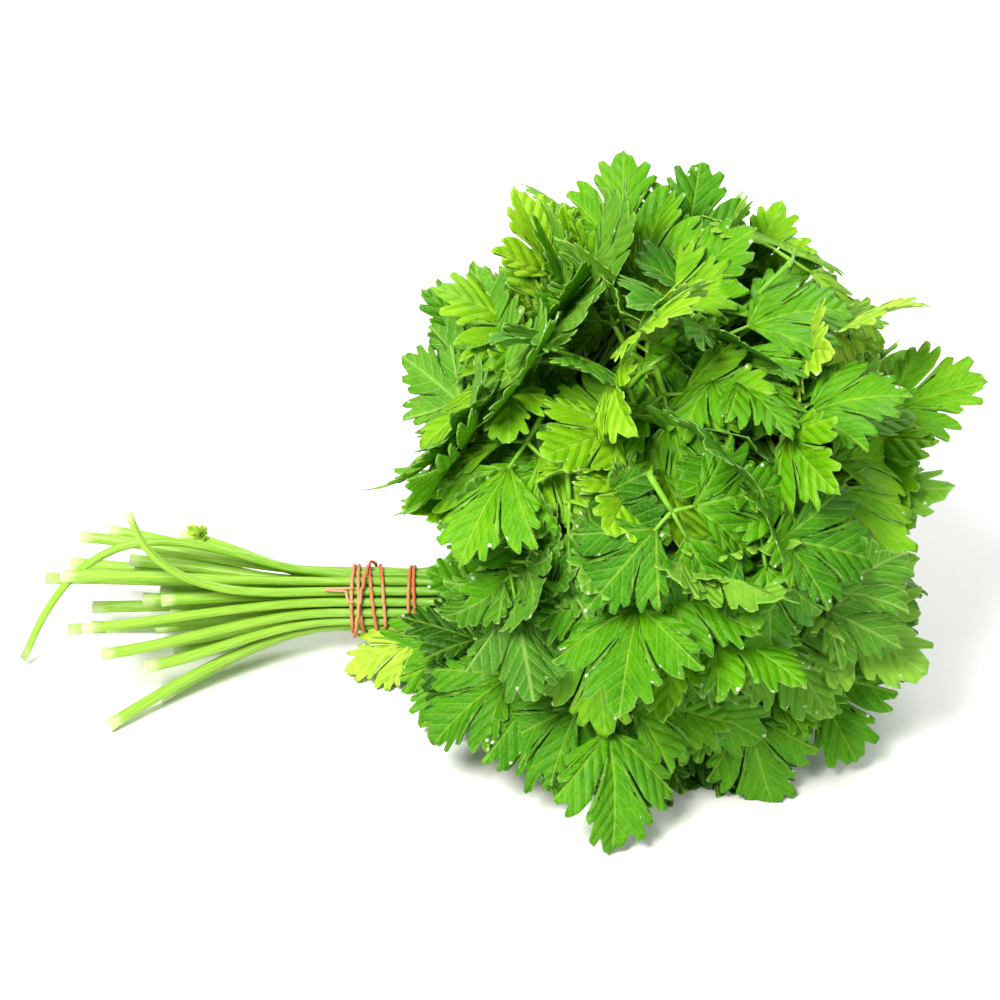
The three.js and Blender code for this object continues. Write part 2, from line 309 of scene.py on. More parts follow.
# %% Stalk materials
def stalk_colour(tree, place, along, fibres, pale, middle, green):
    blotch = node(tree, "TexNoise", ("Vector", place), ("Scale", per_metre(16.667)), ("Detail", 2.0))
    older = node(tree, "Math", along, 0.1, operation="MULTIPLY")
    age = node(tree, "Math", blotch, 0.5, older, operation="MULTIPLY_ADD")
    greener = node(tree, "MapRange", age, 0.5, 1.6, **SMOOTH)
    colour = node(tree, "Mix", greener, (6, linear(middle)), (7, linear(green)), **COLOURS).outputs[2]
    fibre = node(tree, "MapRange", fibres, 0.35, 0.7, 0.0, 0.45, **SMOOTH)
    colour = node(tree, "Mix", fibre, (6, colour), (7, linear(pale)), **COLOURS).outputs[2]
    near_cut = node(tree, "MapRange", along, 0.0, 0.6, 0.55, 0.0, **SMOOTH)
    return node(tree, "Mix", near_cut, (6, colour), (7, linear("#E6EFC4")), **COLOURS).outputs[2]


def stalk_material(name, pale, middle, green):
    material, tree = new_material(name)
    turn, along = node(tree, "SeparateXYZ", node(tree, "UVMap", uv_map="veins")).outputs[:2]
    place = node(tree, "TexCoord").outputs["Object"]
    fibre_turn = node(tree, "Math", turn, 14.0, operation="MULTIPLY")
    stretch = node(tree, "CombineXYZ", fibre_turn, along)
    fibres = node(tree, "TexNoise", ("Vector", stretch), ("Scale", 1.0), ("Detail", 3.0))
    colour = stalk_colour(tree, place, along, fibres, pale, middle, green)
    bump = node(tree, "Bump", ("Strength", 0.5), ("Distance", 0.4 * MM), ("Height", fibres))
    skin = node(tree, "BsdfPrincipled", ("Base Color", colour), ("Normal", bump))
    skin.inputs["Roughness"].default_value = 0.38
    skin.inputs["IOR"].default_value = 1.42
    skin.inputs["Subsurface Weight"].default_value = 0.25
    skin.inputs["Subsurface Radius"].default_value = (0.6, 1.0, 0.25)
    skin.inputs["Subsurface Scale"].default_value = 2 * MM
    node(tree, "OutputMaterial", skin)
    return material


stalk_skin = stalk_material("satin_green_stalk", "#B2D464", "#86B52A", "#64A014")
leaf_stalk = stalk_material("leaf_stalk_skin", "#9BCB48", "#74B024", "#5C9A17")
print("stalk materials:", stalk_skin.name, leaf_stalk.name)

# %% [markdown]
# ### Cut face and elastic
# The cut face is moist pale pith with grains of about a millimetre. The elastic is tan-orange latex
# rubber, cut from a tube and dusted with talc, so it is matt and a little darker in places. The grain and
# the dust are both too fine to count, so they are noise and not a drawn pattern.

# %% Cut face
cut_face, tree = new_material("moist_cut_face")
place = node(tree, "TexCoord").outputs["Object"]
pith = node(tree, "TexNoise", ("Vector", place), ("Scale", per_metre(1.1111)), ("Detail", 3.0))
colour = node(tree, "Mix", pith, (6, linear("#F3F7DF")), (7, linear("#CFE39A")), **COLOURS).outputs[2]
bump = node(tree, "Bump", ("Strength", 0.6), ("Distance", 0.3 * MM), ("Height", pith))
wet = node(tree, "BsdfPrincipled", ("Base Color", colour), ("Normal", bump), ("Roughness", 0.35))
node(tree, "OutputMaterial", wet)
print("made", cut_face.name)

# %% Elastic
rubber, tree = new_material("matt_elastic_rubber")
place = node(tree, "TexCoord").outputs["Object"]
dust = node(tree, "TexNoise", ("Vector", place), ("Scale", per_metre(1.4286)), ("Detail", 4.0))
wide = node(tree, "TexNoise", ("Vector", place), ("Scale", per_metre(11.111)), ("Detail", 1.0))
worn = node(tree, "MapRange", wide, 0.35, 0.7, **SMOOTH)
dark = node(tree, "MapRange", dust, 0.55, 0.75, 0.0, 0.35, **SMOOTH)
colour = node(tree, "Mix", worn, (6, linear("#C9622E")), (7, linear("#E29A72")), **COLOURS).outputs[2]
colour = node(tree, "Mix", dark, (6, colour), (7, linear("#8E3F1C")), **COLOURS).outputs[2]
bump = node(tree, "Bump", ("Strength", 0.4), ("Distance", 0.2 * MM), ("Height", dust))
matt = node(tree, "BsdfPrincipled", ("Base Color", colour), ("Normal", bump), ("Roughness", 0.55))
node(tree, "OutputMaterial", matt)
print("made", rubber.name)

# %% [markdown]
# ## Measure the frame
# A CAD stem is a six-sided rod made of rings. Walking from the cut end's vertices to their neighbours,
# and on to theirs, goes ring by ring, and each ring's middle is a point of the stem's centre line.


# %% Centre lines of the stems
def merged(name):
    mesh = bmesh.new()
    mesh.from_mesh(frame["nodes"][name].data)
    bmesh.ops.remove_doubles(mesh, verts=mesh.verts, dist=0.001 * MM)
    return mesh


def middle(points):
    return sum(points, Vector()) / len(points)


def centre_line(name):
    rod = merged(name)
    cut = min(rod.verts, key=lambda v: v.co.x)
    layer = [v for v in rod.verts if (v.co - cut.co).length < 4.5 * MM]
    seen, line = set(layer), []
    while len(layer) > 1:
        line.append(middle([v.co for v in layer]))
        near = [e.other_vert(v) for v in layer for e in v.link_edges]
        layer = [v for v in dict.fromkeys(near) if v not in seen]
        seen.update(layer)
    rod.free()
    return line


STEMS = sorted(name for name in frame["nodes"] if name.startswith("stem"))
LEAVES = sorted(name for name in frame["nodes"] if name.startswith("leaf"))
stem_lines = [centre_line(name) for name in STEMS]
print(len(stem_lines), "centre lines of", len(stem_lines[0]), "points")


# %% [markdown]
# A CAD leaf is a plate. Its foot is at the stem's tip, its farthest point is the end leaflet's tip, and
# its two widest points give the way across. The blade sags away from its upper face, which tells the two
# faces apart.


# %% Places of the leaves
CAD_LEAF, FLAT = 64 * MM, 0.8 * MM


def leaf_place(name, stem_tip):
    """The foot, the way to the tip, the way the upper face looks, and the size against a leaf of 64 mm."""
    plate = merged(name)
    points = [v.co.copy() for v in plate.verts]
    plate.free()
    foot = middle(sorted(points, key=lambda p: (p - stem_tip).length)[:4])
    tip = max(points, key=lambda p: (p - foot).length)
    axis = (tip - foot).normalized()
    aside = [(p - foot) - (p - foot).dot(axis) * axis for p in points]
    widest = max(aside, key=lambda p: p.length)
    across = (widest - min(aside, key=lambda p: p.dot(widest))).normalized()
    across = (across - across.dot(axis) * axis).normalized()
    face = across.cross(axis).normalized()
    sag = sum((p - foot).dot(face) for p in points) / len(points)
    if sag > FLAT or (abs(sag) <= FLAT and face.z < 0):
        face = -face
    return foot, axis, face, (tip - foot).length / CAD_LEAF


leaf_places = [leaf_place(name, line[-1]) for name, line in zip(LEAVES, stem_lines)]
print("leaf sizes:", [round(place[3], 2) for place in leaf_places])

# %% [markdown]
# ## A smooth round stalk
# A stalk is a rod that starts as a circle. Its open edge is extruded step by step along a smooth curve
# through the centre line's points, and each new ring is turned square to the curve. Ribs are a small wave
# in the radius.


# %% Curve through points
def smooth_line(points, steps):
    ends = [2 * points[0] - points[1], *points, 2 * points[-1] - points[-2]]
    line = []
    for i in range(steps + 1):
        at = i / steps * (len(points) - 1)
        k = min(int(at), len(points) - 2)
        t = at - k
        a, b, c, d = ends[k : k + 4]
        square = 2 * a - 5 * b + 4 * c - d
        cube = 3 * b - a - 3 * c + d
        line.append(0.5 * (2 * b + t * (c - a) + t * t * square + t**3 * cube))
    return line


STEM_STEPS = 44
stem_curves = [smooth_line(points, STEM_STEPS) for points in stem_lines]
lengths = [sum((b - a).length for a, b in zip(curve, curve[1:])) / MM for curve in stem_curves]
print("stems are", round(min(lengths)), "to", round(max(lengths)), "mm long")


# %% [markdown]
# A rod's rings must not twist against each other, or its ribs would wind round it. So each ring takes the
# last ring's directions and turns them only as far as the curve asks. A finished piece's object stays at
# the origin, with its place in its mesh. It is parented to the body it rides on, and the CAD nodes it
# stands for are hidden.


# %% Rod and finished piece
def square_to(line):
    """Two directions square to the line at each point, turned as little as can be from the last two."""
    frames, aside = [], None
    for i in range(len(line)):
        ahead = (line[min(i + 1, len(line) - 1)] - line[max(i - 1, 0)]).normalized()
        aside = aside or ahead.cross(Vector((0.13, 0.9, 0.2)))
        aside = (aside - aside.dot(ahead) * ahead).normalized()
        frames.append((aside.copy(), ahead.cross(aside)))
    return frames


def rod(mesh, line, radius, sides, ribs=0, relief=0.0, material=0, cap=None, start=0.0):
    """A closed rod along the line. radius(t) runs from t = 0 at the first point to 1 at the last."""
    layers = mesh.loops.layers.uv
    veins = layers.get("veins") or layers.new("veins")
    frames = square_to(line)
    made = bmesh.ops.create_circle(mesh, segments=sides, radius=1.0, cap_ends=True)["verts"]
    ring = sorted(made, key=lambda v: math.atan2(v.co.y, v.co.x))
    first_cap = ring[0].link_faces[0]
    rings = [ring]
    edges = list(dict.fromkeys(e for v in ring for e in v.link_edges))
    for _ in line[1:]:
        grown = bmesh.ops.extrude_edge_only(mesh, edges=edges)["geom"]
        fresh = [g for g in grown if isinstance(g, bmesh.types.BMVert)]
        grown = [g for g in grown if isinstance(g, bmesh.types.BMEdge)]
        edges = [e for e in grown if all(v in fresh for v in e.verts)]
        rings.append(sorted(fresh, key=lambda v: math.atan2(v.co.y, v.co.x)))
    end_cap = bmesh.ops.contextual_create(mesh, geom=edges)["faces"]
    where, far = {}, start
    for i, ring in enumerate(rings):
        far += (line[i] - line[i - 1]).length if i else 0.0
        size = radius(i / (len(line) - 1))
        for j, v in enumerate(ring):
            turn = 2 * math.pi * j / sides
            bulge = size * (1 + relief * math.cos(ribs * turn))
            v.co = line[i] + bulge * (math.cos(turn) * frames[i][0] + math.sin(turn) * frames[i][1])
            where[v] = (j / sides, far / (UV_UNIT * MM))
    faces = list(dict.fromkeys(f for ring in rings for v in ring for f in v.link_faces))
    bmesh.ops.recalc_face_normals(mesh, faces=faces)
    for face in faces:
        face.smooth = True
        face.material_index = material
        seam = max(where[loop.vert][0] for loop in face.loops) > 0.6 and len(face.verts) == 4
        for loop in face.loops:
            u, v = where[loop.vert]
            loop[veins].uv = (u + 1 if seam and u < 0.4 else u, v)
    for face in [first_cap, *end_cap]:
        face.smooth = False
    if cap is not None:
        first_cap.material_index = cap
    return first_cap


def finished(name, mesh, materials, replaced):
    data = bpy.data.meshes.new(name)
    mesh.to_mesh(data)
    mesh.free()
    piece = bpy.data.objects.new(name, data)
    bpy.context.scene.collection.objects.link(piece)
    for material in materials:
        data.materials.append(material)
    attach(piece, "root")
    if replaced:
        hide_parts(*replaced)
    return piece


print("rods are closed, and their rings follow", STEM_STEPS, "steps on a stem")

# %% [markdown]
# ## Stems
# A cut herb stem is a ribbed green stalk about 4 mm thick, thinner towards the leaves. Its cut face is
# inset and pushed in a little, which leaves the pale torn rim that shows at the end.

# %% Stems
STEM_SIDES, STEM_RIBS, RIB_HEIGHT = 20, 7, 0.045
CURLED_UP, OVERHANGING, THIN_STEM = 55 * MM, CAD_BOX[0][0] + 6 * MM, 1.2 * MM
AT_TIE, AT_LEAF = 1.45 * MM, 0.8 * MM


def stem_radius(thick):
    """Flared at the cut, tapered to the tie at a third of the way, then thin from the middle to the leaf."""

    def radius(t):
        flare = 0.16 * MM * max(0.0, 1 - t / 0.02)
        body = thick - (thick - AT_TIE) * min(1, t / 0.34)
        return (body if t < 0.5 else AT_TIE - (AT_TIE - AT_LEAF) * (t - 0.5) / 0.5) + flare

    return radius


stem_radii = []
for name, curve in zip(STEMS, stem_curves):
    stalk = bmesh.new()
    thick = dice.uniform(1.6, 2.05) * MM
    if curve[0].z > CURLED_UP or curve[0].x < OVERHANGING:
        thick = THIN_STEM
    radius = stem_radius(thick)
    stem_radii.append(radius)
    cap = rod(stalk, curve, radius, STEM_SIDES, STEM_RIBS, RIB_HEIGHT, 0, 1)
    bmesh.ops.inset_region(stalk, faces=[cap], thickness=0.35 * MM, depth=-0.5 * MM)
    bmesh.ops.poke(stalk, faces=[cap], offset=-0.2 * MM)
    torn = [v for f in stalk.faces if f.material_index == 1 for v in f.verts]
    for v in dict.fromkeys(torn):
        v.co += 0.12 * MM * Vector([dice.uniform(-1, 1) for _ in range(3)])
    finished("stalk_" + name[-2:], stalk, [stalk_skin, cut_face], [name])
print("stems made:", len(STEMS))

# %% [markdown]
# ## A leaflet
# The leaflet has a wedge-shaped base and three lobes with blunt teeth. It starts as a grid. Each column
# of the grid becomes a line from the base to a point of the toothed outline, so the grid's lines spread
# like the veins. The outline is given for the left half of a leaflet one unit long, from the base up to
# the tip.

# %% Outline of a leaflet
BASE, TOOTH, NOTCH, SINUS = range(4)
HALF_OUTLINE = [
    (0.03, 0.0, BASE),
    (0.17, 0.08, BASE),
    (0.33, 0.15, BASE),
    (0.47, 0.225, TOOTH),
    (0.40, 0.30, NOTCH),
    (0.57, 0.385, TOOTH),
    (0.46, 0.43, NOTCH),
    (0.605, 0.56, TOOTH),
    (0.43, 0.56, NOTCH),
    (0.47, 0.70, TOOTH),
    (0.25, 0.56, BASE),
    (0.105, 0.30, SINUS),
    (0.18, 0.56, BASE),
    (0.33, 0.71, TOOTH),
    (0.225, 0.74, NOTCH),
    (0.275, 0.90, TOOTH),
    (0.14, 0.86, NOTCH),
    (0.0, 1.03, TOOTH),
]
NEAR_TIP, ON_SIDE, SHOULDER = 0.2, 0.6, 1.055


def rounded(points):
    """Every tooth's point becomes four, which makes the tooth a blunt finger."""
    out = []
    for i, (x, y, kind) in enumerate(points):
        if kind != TOOTH:
            out.append((x, y, kind))
            continue
        before = points[i - 1]
        after = points[i + 1] if i + 1 < len(points) else None
        for share, side, swell in (
            (ON_SIDE, before, SHOULDER),
            (NEAR_TIP, before, 1.0),
            (NEAR_TIP, after, 1.0),
            (ON_SIDE, after, SHOULDER),
        ):
            if side:
                across = (x + share * (side[0] - x)) * swell
                up = (y + share * (side[1] - y)) * swell
                out.append((across, up, TOOTH))
    out.append((0.0, points[-1][1] - 0.01, TOOTH))
    return out


KINDS = [kind for _, _, kind in rounded(HALF_OUTLINE)]
HALF_COUNT = len(KINDS)
SINUS_AT = KINDS.index(SINUS)
LOBE_TIP = 15  # the side lobe's own tip, counted along the rounded outline
FIRST_TOOTH, LAST_OF_LOBE = 3, 10
COLUMNS = 2 * HALF_COUNT - 2
ROWS = (0.0, 0.42, 0.74, 0.94, 1.0)
print("columns of a leaflet:", COLUMNS)


def outline(width, cleft, lobes):
    """The outline from the left of the base over the tip to the right. Each side is a little different."""
    sides = []
    for lobe in lobes:
        spread = dice.uniform(0.92, 1.08)
        jag = dice.uniform(0.5, 1.3)
        half = []
        for i, (x, y, kind) in enumerate(HALF_OUTLINE):
            reach = lobe if FIRST_TOOTH <= i <= LAST_OF_LOBE else 1.0
            x = x * width * spread * (0.3 + 0.7 * reach)
            y = y * (0.55 + 0.45 * reach)
            if kind == SINUS:
                x, y = x * cleft, y * cleft
            elif kind == TOOTH:
                push = 1 + 0.06 * jag * dice.uniform(-0.7, 1.0)
                x, y = x * push, y * push
            elif kind == NOTCH:
                pull = 1 - 0.07 * jag * dice.uniform(-0.3, 1.2)
                x, y = x * pull, y * pull
            half.append((x, y, kind))
        sides.append([(x, y) for x, y, _ in rounded(half)])
    left, right = sides
    return [(-x, y) for x, y in left] + [(x, y) for x, y in reversed(right[:-1])]


# %% [markdown]
# The flat leaflet is then bent: folded up along its middle rib, drooped along its length, rippled at its
# margin. The blade gets its thickness last, and the faces of its lower side take the matt underside
# material.

# %% Bend a leaflet
BLADE = 0.3 * MM
FLOOR_GAP = 0.6 * MM
LEFT, INNER, RIGHT = range(3)
LOBE_AT = (LOBE_TIP, HALF_COUNT - 1, COLUMNS - LOBE_TIP)


def lifted(x, y, rib, fold, curl, ripple, turns, phase):
    """How far a point rises: the fold, the curl of the sides, the ripple and the fold of its own lobe."""
    far = math.hypot(x, y)
    angle = math.atan2(x, y)
    off = abs(angle - rib) if far > 0.02 else 0.0
    sides = fold * abs(x) - 0.55 * (abs(x) ** 2) * (1 + curl)
    margin = ripple * far * far * math.sin(turns * angle * 2 + phase)
    return sides + margin + 0.05 * far * min(off, 0.35)


def drooped(across, ahead, face, x, y, lift, lean):
    """The place of a point when the leaflet's length is bent to an arc that turns by the angle lean."""
    bend = max(abs(lean), 1e-4) * (1 if lean >= 0 else -1)
    out = y * math.sin(bend) / bend
    down = y * (1 - math.cos(bend)) / bend
    return across * x + ahead * (out + lift * math.sin(bend)) + face * (lift * math.cos(bend) - down)


print("lobes of a leaflet end at the columns", LOBE_AT)

# %% [markdown]
# Each leaflet is a grid whose points are moved to their places. The lower side is a copy of the upper
# one, moved down by the blade's thickness, so the leaflet is a closed thin shell. No two are the same.


# %% Make a leaflet
def thickened(mesh, faces):
    """Gives the blade its thickness. The new lower side takes the second material."""
    shell = bmesh.ops.extrude_face_region(mesh, geom=faces, use_keep_orig=True)["geom"]
    for g in shell:
        if isinstance(g, bmesh.types.BMFace):
            g.material_index = 1
    lower = [g for g in shell if isinstance(g, bmesh.types.BMVert)]
    for v in lower:
        v.normal_update()
    step = {v: v.normal.copy() for v in lower}
    for v in lower:
        v.co -= BLADE * step[v]
    shell_faces = dict.fromkeys(faces + [f for v in lower for f in v.link_faces])
    bmesh.ops.recalc_face_normals(mesh, faces=list(shell_faces))


def leaflet(mesh, base, ahead, face, length, tone, width=1.0, lobes=(1.0, 1.0), droop=0.5, fold=0.2):
    veins, look = mesh.loops.layers.uv["veins"], mesh.loops.layers.uv["look"]
    edge = outline(width, dice.uniform(0.84, 1.16), lobes)
    ribs = [Vector(edge[i]).normalized() for i in LOBE_AT]
    made = bmesh.ops.create_grid(mesh, x_segments=COLUMNS, y_segments=len(ROWS) - 1, size=1.0)
    ripple = dice.uniform(0.02, 0.05)
    turns = dice.choice((3, 4, 5))
    phase = dice.uniform(0, 6.28)
    curl = dice.uniform(-0.35, 0.25)
    twist = dice.uniform(-0.25, 0.25)
    across = ahead.cross(face).normalized()
    face = across.cross(ahead).normalized()
    flat = {}
    for v in made["verts"]:
        column = round((v.co.x + 1) / 2 * COLUMNS)
        share = ROWS[round((v.co.y + 1) / 2 * (len(ROWS) - 1))]
        inner = SINUS_AT < column < COLUMNS - SINUS_AT
        lobe = INNER if inner else LEFT if column <= SINUS_AT else RIGHT
        x = edge[column][0] * share ** (1.6 if inner else 1.05)
        y = edge[column][1] * share
        flat[v] = (x, y, share, lobe)
        lift = lifted(x, y, math.atan2(*edge[LOBE_AT[lobe]]), fold, curl, ripple, turns, phase)
        v.co = base + length * drooped(across, ahead, face, x, y, lift, droop * y + twist * x * y)
        v.co.z = max(v.co.z, FLOOR_GAP)
    faces = list(dict.fromkeys(f for v in flat for f in v.link_faces))
    for f in faces:
        f.smooth = True
        rib = ribs[sorted(flat[v][3] for v in f.verts)[1]]
        for loop in f.loops:
            x, y, share = flat[loop.vert][:3]
            off, along = abs(x * rib.y - y * rib.x), x * rib.x + y * rib.y
            loop[veins].uv = (off * length / (UV_UNIT * MM), along * length / (UV_UNIT * MM))
            loop[look].uv = (tone, share)
    root = [v for v in flat if flat[v][2] == 0.0]
    bmesh.ops.pointmerge(mesh, verts=root, merge_co=base)
    faces = [f for f in faces if f.is_valid]
    bmesh.ops.recalc_face_normals(mesh, faces=faces)
    if sum((f.normal for f in faces), Vector()).dot(face) < 0:
        bmesh.ops.reverse_faces(mesh, faces=faces)
    thickened(mesh, faces)


print("faces of a leaflet's upper side:", COLUMNS * (len(ROWS) - 1))

# %% [markdown]
# ## A compound leaf
# The stalk forks into three branches, as in the frame's leaf. Each branch carries an end leaflet and,
# just below it, a pair of smaller ones, so nine leaflets make the leaf. Every leaflet tilts and turns a
# little on its own.


# %% Make a compound leaf
def leaf_mesh():
    mesh = bmesh.new()
    mesh.loops.layers.uv.new("veins")
    mesh.loops.layers.uv.new("look")
    return mesh


def join(whole, part):
    data = bpy.data.meshes.new("part")
    part.to_mesh(data)
    part.free()
    whole.from_mesh(data)
    bpy.data.meshes.remove(data)


def turned(vector, about, angle):
    return Matrix.Rotation(angle, 3, about) @ vector


FAR_FROM_CUT = 60 * MM


def thin_stalk(mesh, start, end, thick, thin, sag=0.0):
    half = (start + end) / 2 + UP * sag
    line = smooth_line([start, half, end], 4)
    for p in line:
        p.z = max(p.z, FLOOR_GAP + thick)
    rod(mesh, line, lambda t: thick + (thin - thick) * t, 6, material=2, start=FAR_FROM_CUT)


def leaflet_pair(mesh, node_at, way, up, size, length, tone):
    """Two smaller leaflets, one on each side of a branch, with their inner lobes cut short."""
    for side in (-1, 1):
        aside = turned(way, up, side * dice.uniform(0.8, 1.1))
        aside = turned(aside, aside.cross(up).normalized(), dice.uniform(-0.45, 0.1))
        small_up = turned(up, aside, side * dice.uniform(-0.1, 0.45))
        base = node_at + aside * 3.0 * size * MM
        thin_stalk(mesh, node_at, base, 0.5 * MM, 0.4 * MM)
        long = length * dice.uniform(0.7, 0.9)
        own = tone + dice.uniform(-0.06, 0.1)
        width = dice.uniform(0.85, 1.05)
        droop = dice.uniform(0.1, 0.9)
        fold = dice.uniform(0.05, 0.4)
        lobes = (1.0, 0.8) if side > 0 else (0.8, 1.0)
        leaflet(mesh, base - aside * 0.4 * MM, aside, small_up, long, own, width, lobes, droop, fold)


BRANCHES = ((-1.26, 8, 33), (0.0, 11, 36), (1.26, 8, 33))


def compound_leaf(whole, foot, axis, face, size, tone, triples=True):
    """Each branch is its turn in radians, its stalk in mm and its end leaflet in mm."""
    mesh = leaf_mesh()
    fork = foot + axis * 13 * size * MM
    thin_stalk(mesh, foot, fork, 1.0 * MM, 0.85 * MM)
    for turn, stalk_length, length in BRANCHES:
        way = turned(axis, face, -turn + dice.uniform(-0.1, 0.1))
        way = turned(way, way.cross(face).normalized(), dice.uniform(-0.22, 0.12))
        up = turned(face, way, dice.uniform(-0.3, 0.3) + 0.12 * turn)
        base = fork + way * (stalk_length + (4 if triples else 0)) * size * MM
        thin_stalk(mesh, fork, base, 0.7 * MM, 0.5 * MM)
        own = tone + dice.uniform(-0.12, 0.12)
        long = length * size * MM * dice.uniform(0.88, 1.02)
        width = dice.uniform(0.92, 1.12)
        droop = dice.uniform(0.15, 0.85)
        fold = dice.uniform(0.05, 0.35)
        leaflet(mesh, base - way * 0.6 * MM, way, up, long, own, width, droop=droop, fold=fold)
        if triples:
            node_at = fork + way * stalk_length * 0.55 * size * MM
            leaflet_pair(mesh, node_at, way, up, size, length * size * MM, own)
    join(whole, mesh)


print("branches of a compound leaf:", len(BRANCHES))

# %% [markdown]
# A leaf's tone follows its place in the head, with some chance in it. The place adds painted light and
# shade: leaves are brighter and yellower at the top and the far end, and deeper green below and near
# the tie. The materials turn the tone to a green.

# %% Leaf tones
LEAF_MATERIALS = [leaf_upper, leaf_under, leaf_stalk]
head_points = [v.co for name in LEAVES for v in frame["nodes"][name].data.vertices]
HEAD_LOW = Vector([min(p[i] for p in head_points) for i in range(3)])
HEAD_HIGH = Vector([max(p[i] for p in head_points) for i in range(3)])


def tone_with_painted_light(place):
    """Painted light: brighter at the top and far end, deeper green below and near the tie, plus chance."""
    height = (place.z - HEAD_LOW.z) / (HEAD_HIGH.z - HEAD_LOW.z)
    along = (place.x - HEAD_LOW.x) / (HEAD_HIGH.x - HEAD_LOW.x)
    # The height and far-end terms are painted light and shade. The dice term is the leaves' own spread of
    # tone.
    return 0.06 + 0.38 * height + 0.16 * along + dice.uniform(-0.16, 0.30)


print("head, mm:", [round(c / MM) for corner in (HEAD_LOW, HEAD_HIGH) for c in corner])

# %% [markdown]
# Side sprigs fill the head between the big leaves. Their places are spread evenly, turn by turn, over an
# egg-shaped head that just fits in the leaves' box, and each hangs on a thin stalk from the nearest stem.


# %% Places of the sprigs
SPRIGS = 92
GOLDEN_ANGLE = 2.39996
HEAD_MID, HEAD_HALF = (HEAD_LOW + HEAD_HIGH) / 2, (HEAD_HIGH - HEAD_LOW) / 2
CLEAR_OF_TIE = -6 * MM
HALF_SPRIG, LOW_SPRIG = 26 * MM, 26 * MM


def somewhere(spread):
    return Vector([dice.uniform(-spread, spread) for _ in range(3)])


def sprig_place(k):
    height, turn = 1 - 2 * (k + 0.5) / SPRIGS, GOLDEN_ANGLE * k
    level = math.sqrt(1 - height * height)
    out = Vector((level * math.cos(turn), level * math.sin(turn), height))
    depth, size = dice.uniform(0.58, 0.90), dice.uniform(0.72, 0.98)
    centre = HEAD_MID + Vector([out[i] * HEAD_HALF[i] * depth for i in range(3)])
    if dice.random() < 0.5:
        axis = 0.45 * out + 0.75 * (-UP + out.z * out) + somewhere(0.5)
        face = out + 0.5 * UP + somewhere(0.4)
    else:
        axis = out + 0.35 * UP + somewhere(0.6)
        face = UP - 0.2 * out + somewhere(0.6)
    if centre.z < LOW_SPRIG:
        axis = Vector((out.x, out.y, 0.1)) + somewhere(0.2)
    axis.normalize()
    face = (face - face.dot(axis) * axis).normalized()
    foot = centre - HALF_SPRIG * size * axis
    foot.z = max(foot.z, 6 * MM)
    return foot, axis, face, size


def nearest_stem(place):
    reach = [
        ((point - place).length, i, point)
        for i, curve in enumerate(stem_curves)
        for point in curve[STEM_STEPS // 2 :]
        if point.x > CLEAR_OF_TIE
    ]
    return min(reach, key=lambda item: item[0])[1:]


print("sprigs to place:", SPRIGS)

# %% [markdown]
# Some sprigs are placed one by one, as they give the bunch its outline: a crest at the top, tips past the
# head's left and right, and low ones at the front. Each row holds the foot and the tip, as shares of the
# head's half-size counted from its middle.

# %% Sprigs of the outline
OUTLINE_SPRIGS = [
    ((-0.22, 0.20, 0.42), (-0.20, 0.33, 1.06)),
    ((-0.40, 0.15, 0.40), (-0.60, 0.25, 0.92)),
    ((-0.02, 0.25, 0.40), (0.12, 0.38, 1.00)),
    ((-0.50, 0.05, 0.20), (-0.78, 0.12, 0.60)),
    ((-0.55, -0.10, 0.05), (-1.04, -0.05, 0.08)),
    ((-0.55, -0.15, -0.16), (-1.00, -0.14, -0.12)),
    ((0.25, 0.20, 0.35), (0.42, 0.36, 0.86)),
    ((0.45, 0.10, 0.30), (0.86, 0.22, 0.52)),
    ((0.50, -0.05, 0.10), (1.02, -0.12, 0.36)),
    ((0.50, -0.20, 0.00), (1.02, -0.30, 0.02)),
    ((-0.62, -0.46, -0.45), (-0.46, -0.92, -0.86)),
    ((-0.32, -0.58, -0.46), (-0.24, -1.10, -0.94)),
    ((-0.66, -0.22, -0.62), (-0.98, -0.50, -0.92)),
    ((0.42, -0.28, -0.55), (0.70, -0.66, -0.93)),
    ((0.20, -0.45, -0.55), (0.34, -0.90, -0.93)),
    ((0.60, -0.10, -0.45), (0.98, -0.42, -0.78)),
]


def outline_sprig(low, high):
    foot, tip = [HEAD_MID + Vector([share[i] * HEAD_HALF[i] for i in range(3)]) for share in (low, high)]
    axis = (tip - foot).normalized()
    face = UP - 0.8 * Vector((0, 1, 0)) + somewhere(0.15)
    face = (face - face.dot(axis) * axis).normalized()
    return foot, axis, face, (tip - foot).length / (60 * MM)


sprigs = {i: [] for i in range(len(STEMS))}
for low, high in OUTLINE_SPRIGS:
    foot, axis, face, size = outline_sprig(low, high)
    index, start = nearest_stem(foot - 8 * MM * axis)
    sprigs[index].append((start, foot, axis, face, size))
for k in range(SPRIGS):
    foot, axis, face, size = sprig_place(k)
    if foot.x > CLEAR_OF_TIE or foot.z > 60 * MM:
        index, start = nearest_stem(foot - 12 * MM * axis)
        sprigs[index].append((start, foot, axis, face, size))
print("sprigs on each stem:", [len(found) for found in sprigs.values()])

# %% [markdown]
# Some single leaflets sit low at the tie: one covers part of the elastics, one old yellow one hangs in
# front, and the rest close the gap below the head. Each row holds the base and the tip in mm from the
# middle of the inner elastic, the way the upper face looks, the tone and the width.

